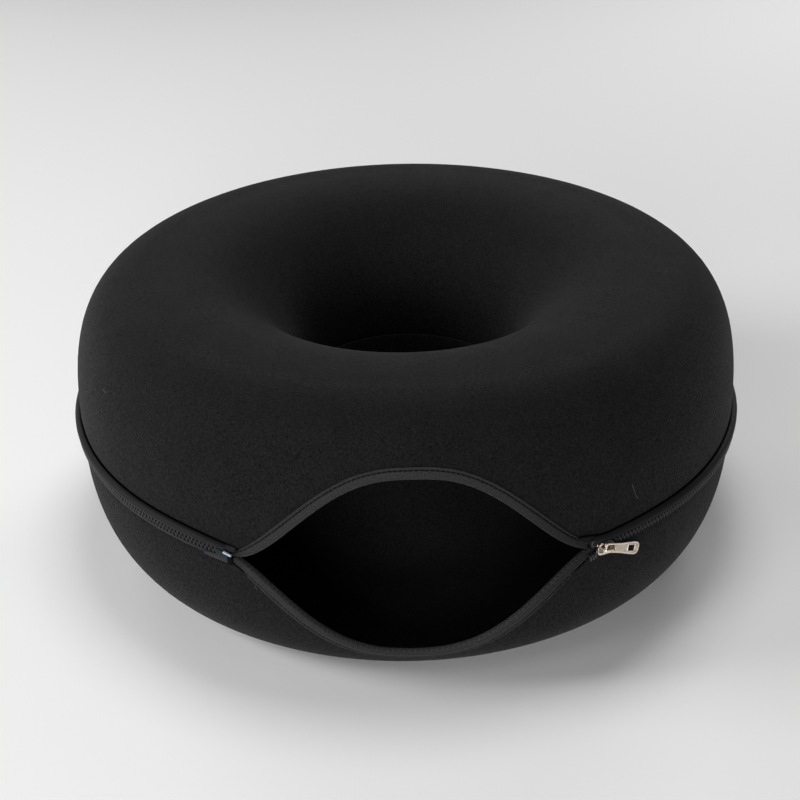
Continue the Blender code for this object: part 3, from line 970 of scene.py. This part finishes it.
def upper_tape_section(azimuth):
    """Control points of the upper tape's section, radius and height, top first."""
    away = abs(azimuth) - ZIP_START
    if away < 0:
        top, bottom = table_at(azimuth, RIGHT_END if azimuth > 0 else LEFT_END)
        swell = END_RADIUS + 0.0016 * max(0.0, 1 + away / 1.2)
        tall = top - bottom
        return [
            (END_RADIUS - 0.0011, top),
            (END_RADIUS - 0.0003, top - tall * 0.10),
            (swell, top - tall * 0.45),
            (swell, top - tall * 0.80),
            (END_RADIUS - 0.0006, bottom),
        ]
    edge = upper_zip_edge(azimuth)
    start = chain_line(azimuth) + CHAIN_HALF_HEIGHT
    turned_out = max(0.0, 1 - away / 2.2)
    shorter, further = min(1.0, turned_out * 2), max(0.0, turned_out * 2 - 1)
    points = []
    for index, (radius, share) in enumerate(UPPER_TAPE_PATH):
        if index < 4:
            share += (0.94 - index * 0.02 - share) * shorter
            radius += (0.2952 + index * 0.0005 - radius) * further
        points.append((radius, start + share * (edge - start)))
    return points


def lower_tape_section(azimuth):
    """Control points of the lower tape's section, radius and height, its hidden end first."""
    edge = lower_zip_edge(azimuth)
    start = chain_line(azimuth) - CHAIN_HALF_HEIGHT
    left, right = np.array(LOWER_TAPE_PATH), np.array(RIGHT_LOWER_TAPE_PATH)
    path = left + (right - left) * rightness(azimuth)
    return [(radius, start + share * (edge - start)) for radius, share in path]


def tape_shade(radius, passed, left, azimuth):
    """Painted shade on the tape: deep in the groove under the felt's edge and beside the teeth.

    The upper tape's ends get a painted shadow along their top, and the right end is a little darker.
    """
    groove = eased(-radius, -CHAIN_INNER, 0.0010)
    if abs(azimuth) < ZIP_START:
        groove = max(groove, 1 - passed / 0.0010)
    if azimuth > ZIP_START:
        beside = 0.95 * min(1.0, max(0.0, 2 - left / TEETH_SHADE))
    else:
        beside = max(0.0, 1 - left / TEETH_SHADE) * (0.75 if azimuth < -ZIP_START else 0.3)
    return max(groove, beside, 0.30 if 0 < azimuth < ZIP_START else 0.0)


def make_tape(half, material):
    """A zip tape with a raised cord beside the teeth; the upper one's ends lie over the lip tape."""
    section_of = upper_tape_section if half is UPPER else lower_tape_section
    azimuths = spaced(ZIP_START, 360 - ZIP_START, TAPE_STATIONS)
    if half is UPPER:
        before = spaced(RIGHT_END[0][0], ZIP_START, 20)
        after = spaced(360 - ZIP_START, 360 + LEFT_END[-1][0], 14)
        azimuths = before[:-1] + azimuths + after[1:]
    cord_height, cord_middle, cord_width = TAPE_CORD
    wale_height, wale_pitch = TAPE_WALE
    verts, cloth_and_painted_shade = [], []
    for azimuth in azimuths:
        turned = facing(azimuth)
        path = smooth_path(section_of(turned), TAPE_STEPS)
        outward = path_normals(path) * half["up"]
        across = run_along(path)
        left = across[-1] - across
        cord = cord_height * np.exp(-(((left - cord_middle) / cord_width) ** 2))
        wale = wale_height * np.cos(2 * math.pi * across / wale_pitch)
        face = path + outward * (TAPE / 2 + cord + wale)[:, None]
        back = (path - outward * TAPE / 2)[::-1]
        shades = [tape_shade(point[0], *at, turned) for point, *at in zip(path, across, left)]
        length = math.radians(azimuth) * WALL_RADIUS
        verts += [on_ring(azimuth, *point) for point in np.vstack([face, back])]
        cloth_and_painted_shade += [(length, mark, shade) for mark, shade in zip(across, shades)]
        cloth_and_painted_shade += [(length, mark, 0.0) for mark in across[::-1]]
    part = verts, tube_faces(len(azimuths), len(verts) // len(azimuths))
    name = "tape_" + half["name"]
    return add_piece(name, part, material, ("zip_" + name,), cloth_and_painted_shade)


def frame_at(azimuth, height, radius, turn=0):
    """Matrix whose x runs along the zip to the right, y up and z away from the ring."""
    angle = math.radians(azimuth)
    along = Vector((math.cos(angle), math.sin(angle), 0))
    outward = Vector((math.sin(angle), -math.cos(angle), 0))
    axes = Matrix((along, Vector((0, 0, 1)), outward)).transposed().to_4x4()
    spun = Matrix.Rotation(math.radians(turn), 4, "Z")
    return Matrix.Translation(on_ring(azimuth, radius, height)) @ axes @ spun


def bevelled_prism(outline, low, high, bevel, segments):
    """Vertices and faces of a prism whose upper rim is rounded."""
    work = bmesh.new()
    bottom = [work.verts.new((x, y, low)) for x, y in outline]
    top = [work.verts.new((x, y, high)) for x, y in outline]
    for index in range(len(outline)):
        after = (index + 1) % len(outline)
        work.faces.new((bottom[index], bottom[after], top[after], top[index]))
    work.faces.new(bottom[::-1])
    work.faces.new(top)
    rim = [edge for edge in work.edges if all(abs(vert.co.z - high) < 1e-9 for vert in edge.verts)]
    bmesh.ops.bevel(work, geom=rim, offset=bevel, segments=segments, affect="EDGES", profile=0.6)
    work.verts.index_update()
    verts = [vert.co.copy() for vert in work.verts]
    faces = [tuple(vert.index for vert in face.verts) for face in work.faces]
    work.free()
    return verts, faces


def placed(part, matrix):
    verts, faces = part
    return [matrix @ vert for vert in verts], faces


def rounded_outline(length, width, corner, steps=5, centre=(0, 0)):
    """A rectangle about a centre with round corners."""
    points = []
    far, side = length / 2 - corner, width / 2 - corner
    for x, y, start in ((far, side, 0), (-far, side, 90), (-far, -side, 180), (far, -side, 270)):
        for degrees in spaced(start, start + 90, steps):
            angle = math.radians(degrees)
            across, up = x + corner * math.cos(angle), y + corner * math.sin(angle)
            points.append((centre[0] + across, centre[1] + up))
    return points


def tooth_outline(up):
    """A tooth seen from outside: a foot on its tape, a waist and a rounded head."""
    right = [(x * MM, y * MM * up) for x, y in TOOTH_HALF]
    outline = right + [(-x, y) for x, y in reversed(right)]
    return outline if up < 0 else outline[::-1]


def make_teeth(half, material):
    """A row of moulded teeth along the closed part of the zip; the lower row is half a tooth on."""
    up = half["up"]
    radius = (CHAIN_INNER + CHAIN_OUTER) / 2
    step = math.degrees(TOOTH_PITCH / radius)
    tooth = bevelled_prism(tooth_outline(up), 0.0, CHAIN_OUTER - CHAIN_INNER, TOOTH_BEVEL, 2)
    parts = []
    azimuth = CHAIN_RIGHT_END + step * (0.4 if up > 0 else 0.9)
    while azimuth < 360 + CHAIN_LEFT_END - step * 0.3:
        turned = facing(azimuth)
        rise = chain_line(turned + 0.5) - chain_line(turned - 0.5)
        tilt = math.degrees(math.atan(rise / math.radians(1) / radius))
        parts.append(placed(tooth, frame_at(azimuth, chain_line(turned), CHAIN_INNER, tilt)))
        azimuth += step
    name, nodes = "teeth_" + half["name"], ("zip_chain",) if up > 0 else ()
    return add_piece(name, joined(parts), material, nodes, sharp=40)


def add_plastic(name, parts, material, nodes=(), sharp=50):
    return add_piece(name, joined(parts), material, nodes, sharp=sharp)


def block(size, corner, bevel, place, segments=3, steps=5, centre=(0, 0), low=0):
    """A block with round corners and a rounded upper rim, at its place."""
    length, width, high = size
    outline = rounded_outline(length, width, corner, steps, centre)
    return placed(bevelled_prism(outline, low, high, bevel, segments), place)


def make_lower_stop(material, dark):
    """The open lower end's stop: a block with three ribs, and the last tooth beside it."""
    *spot, size = LOWER_STOP
    place = frame_at(*spot)
    add_plastic("stop_lower_core", [block(size, 0.0007, 0.0005, place)], dark)
    rib, low = (0.0014, size[1] * 1.02, size[2] + 0.0010), size[2] * 0.4
    # The ribs and the last tooth are in the lighter plastic: a painted highlight on the dark core.
    parts = [block(rib, 0.0003, 0.0003, place, 2, 3, (along, 0), low) for along in LOWER_STOP_RIBS]
    *spot, size = LAST_TOOTH
    parts.append(block(size, 0.0005, 0.0004, frame_at(*spot)))
    add_plastic("stop_lower", parts, material, ("zip_stop_lower",))


def make_upper_stop(material, dark):
    """The upper stop: a clip bent round the tape's edge, open to the right."""
    *spot, (length, width, thick) = UPPER_STOP
    place = frame_at(*spot)
    core = block((length, width, thick * 0.6), 0.0006, 0.0003, place, 2)
    add_plastic("stop_upper_core", [core], dark)
    arms = (
        ((0.0010, width, thick), (-length / 2 + 0.0005, 0)),
        ((length, 0.0011, thick), (0, -width / 2 + 0.0006)),
        ((length * 0.8, 0.0010, thick), (-length * 0.1, width / 2 - 0.0005)),
    )
    # The arms are in the lighter plastic: a painted highlight on the dark core.
    parts = [block(arm, 0.0004, 0.0003, place, 3, 4, middle) for arm, middle in arms]
    add_plastic("stop_upper", parts, material, ("zip_stop_upper",))


def make_box(material, clear):
    """The left end of the chain: the moulded box under a glossy film, and the film's tab.

    The box is coloured pale as a painted highlight.
    """
    *spot, size = BOX
    box = block(size, 0.0004, 0.0005, frame_at(*spot), 4)
    add_plastic("retainer_box", [box], clear, ("zip_retainer_box",), 60)
    *spot, size = FILM_TAB
    add_plastic("film_tab", [block(size, 0.0010, 0.0006, frame_at(*spot))], material, sharp=60)


def make_film_patch(material):
    """Milky film welded over the left end of the lower tape."""
    azimuths = spaced(FILM[0][0], FILM[-1][0], FILM_STATIONS)
    verts = []
    for azimuth in azimuths:
        top, bottom = table_at(azimuth, FILM)
        shares = spaced(0, 1, FILM_COLUMNS - 1)
        tall = top - bottom
        front = [(FILM_RADIUS - FILM_FALL * share**2, top - tall * share) for share in shares]
        back = [(radius - FILM_THICK, height) for radius, height in front[::-1]]
        verts += [on_ring(azimuth, *point) for point in front + back]
    part = verts, tube_faces(len(azimuths), 2 * FILM_COLUMNS)
    add_plastic("film_patch", [part], material)


def make_bar_tack(material):
    """Dense sewing across the zip's left end, and the single threads round it; the cord and the seams
    among them are painted shadow.
    """
    parts = []
    for index in range(TACK_THREADS):
        points = []
        for share in spaced(0, 1, 6):
            azimuth = TACK_START + TACK_STEP * index - 0.10 * share
            height = TACK_TOP + 0.0010 * index / 6 - TACK_DROP * share
            radius = TACK_RADIUS - 0.0010 * (2 * share - 1) ** 2 + 0.00012 * (index % 2)
            points.append(on_ring(azimuth, radius, height))
        parts.append(capsule(points, TACK_THICK))
    for steps, radius, thick, thread in THREADS_AND_SHADOW_LINES:
        path = smooth_path(thread, steps)
        parts.append(capsule([on_ring(azimuth, radius, height) for azimuth, height in path], thick))
    add_piece("bar_tack_and_shadow_lines", joined(parts), material)


# ---- slider and pull


def flat_plate(outlines, half_thick, bevel, matrix):
    """A plate with holes and rounded rims, from closed outlines in its own plane."""
    curve = bpy.data.curves.new("plate", "CURVE")
    curve.dimensions = "2D"
    curve.fill_mode = "BOTH"
    curve.extrude = half_thick - bevel
    curve.bevel_depth = bevel
    curve.bevel_resolution = 3
    curve.offset = -bevel
    for outline in outlines:
        spline = curve.splines.new("POLY")
        spline.points.add(len(outline) - 1)
        for point, (x, y) in zip(spline.points, outline):
            point.co = (x, y, 0, 1)
        spline.use_cyclic_u = True
    holder = add_object("plate", curve)
    bpy.context.view_layer.update()
    mesh = bpy.data.meshes.new_from_object(holder)
    bpy.data.objects.remove(holder)
    bpy.data.curves.remove(curve)
    work = bmesh.new()
    work.from_mesh(mesh)
    bmesh.ops.remove_doubles(work, verts=work.verts, dist=1e-6)
    work.transform(matrix)
    work.to_mesh(mesh)
    work.free()
    return mesh


def add_metal(name, outlines, half_thick, bevel, place, material, nodes=()):
    plate = flat_plate(outlines, half_thick, bevel, place)
    finish_piece(name, plate, material, nodes)


def mirrored(upper):
    """A closed outline from its upper half."""
    return [tuple(point) for point in upper] + [(x, -y) for x, y in upper[::-1]]


def slider_frame():
    return frame_at(SLIDER_AZIMUTH, SLIDER_HEIGHT, SLIDER_RADIUS)


def pull_frame():
    """Matrix of the pull: x runs from its ring end to its tip, z is its face."""
    lean = Matrix.Rotation(math.radians(PULL_LEAN), 4, "Y")
    hang = Matrix.Rotation(math.radians(-PULL_HANG), 4, "Z")
    roll = Matrix.Rotation(math.radians(PULL_ROLL), 4, "X")
    return slider_frame() @ Matrix.Translation(Vector(PULL_START)) @ hang @ lean @ roll


def pull_outline(inset=0.0):
    upper = smooth_path([(along, width - inset) for along, width in PULL_OUTLINE], 48)
    upper[:, 0] = np.clip(upper[:, 0], PULL_OUTLINE[0][0] + inset, PULL_OUTLINE[-1][0] - inset)
    return mirrored(upper)


def make_pull(material, painted_shade_metal):
    """The pull tab: a flat plate with a raised border, a slot at its ring end and a window."""
    place = pull_frame()
    half = PULL_THICK / 2
    start, length, width = PULL_SLOT
    slot = rounded_outline(length, width, 0.0014, 6, (start + length / 2, 0))
    start, length, width = PULL_WINDOW
    middle = (start + length / 2, 0)
    window = rounded_outline(length, width, 0.0007, 4, middle)
    collar = rounded_outline(length + 2 * WINDOW_RIM, width + 2 * WINDOW_RIM, 0.0011, 4, middle)
    holed = [pull_outline(), slot, window]
    # The plate inside the border is a darker copy of the metal: painted shade.
    add_metal("pull_plate", holed, half - 0.0002, 0.00025, place, painted_shade_metal, ("zip_pull",))
    add_metal("pull_border", [pull_outline(), pull_outline(PULL_RIM)], half, 0.00028, place, material)
    add_metal("pull_window_rim", [collar, window], half, 0.0002, place, material)


def slider_outline(grow):
    """The slider's plate: round shoulders at the zip's open end, narrower at the other."""
    half = [(x + math.copysign(grow, x), y + grow) for x, y in SLIDER_OUTLINE]
    return mirrored(smooth_path(half, 36))


def make_slider(material, painted_shade_metal):
    """The slider: a top plate with a raised rim, and a bridge for the pull."""
    turn = Matrix.Rotation(math.radians(SLIDER_TURN), 4, "Z")
    place = slider_frame() @ Matrix.Translation((0, SLIDER_SHIFT, 0)) @ turn
    half = PLATE_THICK / 2
    middle = place @ Matrix.Translation((0, 0, half))
    outer, inner = slider_outline(SLIDER_GROW), slider_outline(SLIDER_GROW - SLIDER_RIM)
    # The plate inside the rim is a darker copy of the metal: painted shade.
    add_metal("slider_plate", [outer], half - 0.0003, 0.0004, middle, painted_shade_metal, ("zip_slider",))
    add_metal("slider_rim", [outer, inner], half + 0.0002, 0.0003, middle, material)
    add_piece("slider_bridge", bridge_part(place), material, sharp=50)


def bridge_part(place):
    """A strap bent from the plate's one end over the pull's slot to the other."""
    reach, inside = BRIDGE_LENGTH / 2, (BRIDGE_LENGTH - BRIDGE_BAR) / 2
    roof = PLATE_THICK + BRIDGE_CLEAR + BRIDGE_BAR / 2
    rise = [(inside, PLATE_THICK * 0.6), (inside, roof * 0.62), (reach * 0.62, roof * 0.96)]
    path = smooth_path([(-x, z) for x, z in rise] + [(0.0, roof)] + rise[::-1], 40)
    corner = rounded_outline(BRIDGE_WIDTH, BRIDGE_BAR, 0.0005, 3)
    verts = []
    for point, normal in zip(path, path_normals(path)):
        for across, out in corner:
            along, up = point + normal * out
            verts.append(place @ Vector((along, across, up)))
    return verts, tube_faces(len(path), len(corner))


# ---- camera, light, floor


def add_camera():
    """The viewpoint, which looks level with the object's front and rolls slightly."""
    elevation, roll = math.radians(CAMERA_ELEVATION), math.radians(CAMERA_ROLL)
    back = Vector((0, -math.cos(elevation), math.sin(elevation)))
    level = Vector((1, 0, 0))
    rise = back.cross(level)
    right = level * math.cos(roll) - rise * math.sin(roll)
    upward = level * math.sin(roll) + rise * math.cos(roll)
    data = bpy.data.cameras.new("view")
    data.sensor_width = 36.0
    data.lens = CAMERA_LENS
    camera = add_object("view", data)
    turn = Matrix((right, upward, back)).transposed().to_4x4()
    camera.matrix_world = Matrix.Translation(Vector(CAMERA_TARGET) + back * CAMERA_DISTANCE) @ turn
    bpy.context.scene.camera = camera


def add_light(name, place, size, power):
    data = bpy.data.lights.new(name, "AREA")
    data.shape = "DISK"
    data.size = size
    data.energy = power
    light = add_object(name, data)
    light.location = place
    light.rotation_mode = "QUATERNION"
    light.rotation_quaternion = (Vector(LIGHT_AIM) - Vector(place)).to_track_quat("-Z", "Y")


def add_floor():
    mesh = bpy.data.meshes.new("floor")
    corners = [(x * FLOOR_HALF, y * FLOOR_HALF, 0) for x, y in ((-1, -1), (1, -1), (1, 1), (-1, 1))]
    mesh.from_pydata(corners, [], [(0, 1, 2, 3)])
    look = Look("pale_floor", Base_Color=(0.86, 0.86, 0.86, 1), Roughness=0.9)
    mesh.materials.append(look.material)
    floor = add_object("floor", mesh)
    floor.location.z = -FLOOR_DROP


def add_stage():
    """A pale floor under soft lights, in an almost dark room."""
    world = bpy.data.worlds.new("studio")
    world.use_nodes = True
    background = world.node_tree.nodes["Background"]
    background.inputs["Color"].default_value = (1, 1, 1, 1)
    background.inputs["Strength"].default_value = WORLD_STRENGTH
    bpy.context.scene.world = world
    bpy.context.scene.view_settings.view_transform = "Standard"
    for soft_box in SOFT_BOXES:
        add_light(*soft_box)
    add_floor()


# ---- everything


def make_soft_pieces(materials):
    """Felt, lip tape and zip tape of both halves, with the pieces that lie on them."""
    source = random.Random(FUZZ_SEED)
    for half in (UPPER, LOWER):
        felt = make_felt(half, materials["felt"])
        extras = [make_fuzz(half, source, materials["fuzz"])]
        if half is UPPER:
            extras.append(make_lint(materials["lint"]))
    for half in (UPPER, LOWER):
        tape = make_binding(half, materials["twill"])
        stitches = make_lip_stitches(half, materials["thread"])
        felt = "felt_" + half["name"]
    teeth = [make_teeth(half, materials["teeth"]) for half in (UPPER, LOWER)]
    for half, row in zip((UPPER, LOWER), teeth):
        tape = make_tape(half, materials["tape"])
        felt = "felt_" + half["name"]


def main():
    materials = make_materials()
    make_soft_pieces(materials)
    make_box(materials["film"], materials["clear"])
    make_film_patch(materials["film"])
    make_bar_tack(materials["thread"])
    make_upper_stop(materials["stop"], materials["plastic"])
    make_lower_stop(materials["stop"], materials["plastic"])
    make_slider(materials["slider"], materials["slider_painted_shade"])
    make_pull(materials["metal"], materials["painted_shade_metal"])
    add_camera()
    add_stage()


main()
